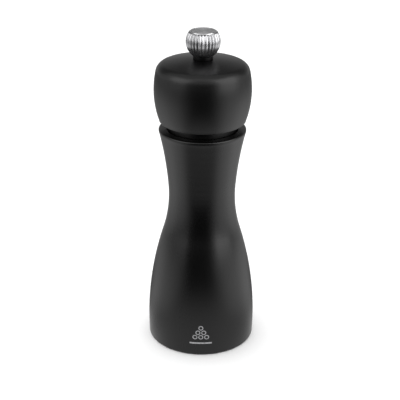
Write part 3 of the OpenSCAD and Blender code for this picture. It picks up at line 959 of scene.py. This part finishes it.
make_body()
make_head()
make_knob()
make_knob_disc()
# the collar's black nylon is darkened further to paint the shade under the knob
ring_piece("knob_collar", "knob_washer", THREAD_R + COLLAR_GAP, NYLON_WITH_PAINTED_SHADE, "knob", "black_nylon")
make_insert()
make_shaft()
make_cone()
make_ring()
make_spring()
ring_piece("spring_seat_washer", "spring_washer", SPRING_WASHER_BORE, ZINC, "seat", "zinc_steel")
ring_piece("cone_tail_washer", "cone_washer", TAIL_R, ZINC, "spindle", "zinc_steel")
softened("bridge_pressed", "grinder_bridge", 0.18 * MM, ZINC, "body", "zinc_steel")
softened("retaining_plate_pressed", "retaining_plate", 0.15 * MM, ZINC, "body", "zinc_steel")
softened("drive_plate_pressed", "drive_plate", 0.18 * MM, ZINC, "head", "zinc_steel")
screws("retaining_screws_cross", "retaining_screws", 2, PLATE_SCREW_RING_R, 180,
       low_z("retaining_plate"), 2.6 * MM, 1.25 * MM, "body")
screws("drive_plate_screws_cross", "drive_plate_screws", 3, DRIVE_SCREW_RING_R, 90,
       SPIGOT_LOW, 1.9 * MM, 1.1 * MM, "head")

# ---------------------------------------------------------------- studio: floor, cards that paint reflections, light and camera

def plane(name, size_x, size_y, place, turn=(0, 0, 0)):
    mesh = bpy.data.meshes.new(name)
    x, y = size_x / 2, size_y / 2
    mesh.from_pydata([(-x, -y, 0), (x, -y, 0), (x, y, 0), (-x, y, 0)], [], [(0, 1, 2, 3)])
    obj = bpy.data.objects.new(name, mesh)
    obj.location = place
    obj.rotation_euler = turn
    bpy.context.scene.collection.objects.link(obj)
    return obj


FLOOR_GAP = 0.05 * MM         # keeps the floor just clear of the foot
floor = plane("floor", 8.0, 8.0, (0, 0, CAD_BOX[0][2] - FLOOR_GAP))
floor.data.materials.append(studio_floor("white_sweep"))


def reflected_only(card):
    """Hides a card from everything but reflections, as a studio's cards stand outside the picture, so that
    what it shows there is a painted reflection that lights and shades nothing.
    """
    card.visible_camera = False
    card.visible_diffuse = False
    card.visible_shadow = False
    card.visible_transmission = False


def glow_look(look, glow):
    """Makes a card black, and lights it by glow."""
    look.set(Base_Color=(0.0, 0.0, 0.0, 1.0), Roughness=1.0, Specular_IOR_Level=0.0)
    look.set(Emission_Color=(1.0, 1.0, 1.0, 1.0), Emission_Strength=glow)


def painted_reflection_card(name, size_x, size_y, place, turn, low_glow, high_glow):
    """A glowing card that shows only in reflections, as a painted reflection: low_glow along its foot, and
    high_glow from its middle up.
    """
    card = plane(name, size_x, size_y, place, turn)
    look = Shader(name)
    _, up, _ = look.add("ShaderNodeSeparateXYZ", {"Vector": look.place}).outputs
    glow_look(look, look.span(up, -0.45 * size_y, -0.03 * size_y, low_glow, high_glow, soft=True))
    card.data.materials.append(look.material)
    reflected_only(card)


def painted_floor_reflection(name, size_x, size_y, place):
    """A painted reflection of the sweep as the lacquer sees it: a glowing card with light from the right, and
    shade in front and behind, painted in.
    """
    card = plane(name, size_x, size_y, place)
    look = Shader(name)
    x, y, _ = look.add("ShaderNodeSeparateXYZ", {"Vector": look.place}).outputs
    away = look.add("ShaderNodeVectorMath", {0: look.place}, operation="LENGTH").outputs["Value"]
    to_right = look.sum("ADD", x, 10 * MM)
    azimuth = look.sum("ARCTAN2", to_right, look.sum("MULTIPLY", y, -1.0))
    off_front = look.sum("ABSOLUTE", azimuth)
    # painted light: brighter to the right
    side = look.span(x, -0.10, 0.35, 1.28, 1.80)
    # a painted pool of light round the foot, a little dimmer at its sides
    painted_light_pool = look.span(away, 0.03, 0.24, 0.70, 0.0, soft=True)
    painted_light_pool = look.sum("MULTIPLY", painted_light_pool, look.span(off_front, 0.7, 1.5, 1.0, 0.75, soft=True))
    # glow on everything but the front, with painted shade next to the foot
    wide = look.span(off_front, 0.25, 1.20, 0.0, 1.0, soft=True)
    wide = look.sum("MULTIPLY", wide, look.span(away, 0.03, 0.10, 0.45, 1.0, soft=True))
    # painted shade behind, most of it next to the foot
    turn = look.sum("ARCTAN2", y, look.sum("ABSOLUTE", x))
    behind = look.span(away, 0.07, 0.16, 0.14, 0.36, soft=True)
    back = look.span(turn, 0.05, 0.90, 1.0, behind, soft=True)
    # painted light that dims with distance
    far = look.span(away, 0.20, 0.70, 1.0, 0.36, soft=True)
    glow = look.sum("MULTIPLY", side, look.sum("MAXIMUM", painted_light_pool, wide))
    glow_look(look, look.sum("MULTIPLY", glow, look.sum("MULTIPLY", back, far)))
    card.data.materials.append(look.material)
    reflected_only(card)


def soft_box(name, size_x, size_y, place, target, radiance):
    """A rectangular light that shows only in gloss, so that the floor has no hard shades."""
    lamp = bpy.data.lights.new(name, "AREA")
    lamp.shape = "RECTANGLE"
    lamp.size = size_x
    lamp.size_y = size_y
    lamp.energy = radiance * math.pi * size_x * size_y
    obj = bpy.data.objects.new(name, lamp)
    obj.location = place
    obj.rotation_euler = (Vector(target) - Vector(place)).to_track_quat("-Z", "Y").to_euler()
    obj.visible_diffuse = False
    bpy.context.scene.collection.objects.link(obj)


def sweep_light(name, place, strength, spread):
    """Even light from high behind, which whitens the sweep and leaves a soft shade in front of the foot."""
    lamp = bpy.data.lights.new(name, "SUN")
    lamp.energy = strength
    lamp.angle = math.radians(spread)
    obj = bpy.data.objects.new(name, lamp)
    obj.location = place
    obj.rotation_euler = Vector(place).to_track_quat("Z", "Y").to_euler()
    obj.visible_glossy = False
    bpy.context.scene.collection.objects.link(obj)


MIDDLE = (0, 0, 80 * MM)      # about half way up the object


def around(azimuth, elevation, distance):
    """A place seen from the middle of the object: azimuth 0 is towards the camera, 90 to the right."""
    a, e = math.radians(azimuth), math.radians(elevation)
    return (distance * math.sin(a) * math.cos(e), -distance * math.cos(a) * math.cos(e),
            MIDDLE[2] + distance * math.sin(e))


painted_floor_reflection("painted_reflection_of_floor", 4.0, 4.0, (0.0, 0.0, 0.4 * MM))
# painted reflections: a black card for the shade in front, and a card behind that glows brighter at its foot,
# like lit floor
painted_reflection_card("painted_shade_in_front", 1.4, 0.38, (-0.15, -1.0, 0.13), (math.radians(90), 0, 0), 0.0, 0.0)
painted_reflection_card("painted_reflection_behind", 3.8, 1.6, (0.0, 0.9, 0.8), (math.radians(90), 0, 0), 0.60, 0.13)
soft_box("softbox_right", 0.85, 0.95, around(63, 26, 0.90), MIDDLE, 2.5)
soft_box("softbox_left", 0.80, 0.80, around(-60, 31, 1.00), MIDDLE, 1.85)
soft_box("softbox_top", 0.8, 0.4, around(0, 62, 1.0), MIDDLE, 0.65)
sweep_light("sweep_light", (-0.15, 0.4, 1.0), 2.0, 110)

world = bpy.data.worlds.new("studio")
bpy.context.scene.world = world
world.use_nodes = True
world.node_tree.nodes["Background"].inputs["Color"].default_value = (1.0, 1.0, 1.0, 1.0)
world.node_tree.nodes["Background"].inputs["Strength"].default_value = 0.85

CAMERA_DISTANCE = 451.8 * MM
CAMERA_HEIGHT = 271.8 * MM
CAMERA_PITCH = 24.18          # degrees below level
CAMERA_ROLL = 0.46            # degrees
CAMERA_LENS = 95.4            # millimetres, on a sensor as wide as CAMERA_SENSOR
CAMERA_SENSOR = 36.0
CAMERA_SHIFT = -0.0047        # of the sensor's width
camera_data = bpy.data.cameras.new("camera")
camera_data.lens = CAMERA_LENS
camera_data.sensor_width = CAMERA_SENSOR
camera_data.shift_x = CAMERA_SHIFT
camera_data.clip_start = 0.01
camera_data.clip_end = 50.0
camera = bpy.data.objects.new("camera", camera_data)
bpy.context.scene.collection.objects.link(camera)
camera.matrix_world = (Matrix.Translation((0, -CAMERA_DISTANCE, CAMERA_HEIGHT))
                       @ Matrix.Rotation(math.radians(90 - CAMERA_PITCH), 4, "X")
                       @ Matrix.Rotation(math.radians(CAMERA_ROLL), 4, "Z"))
bpy.context.scene.camera = camera
bpy.context.scene.view_settings.view_transform = "Standard"
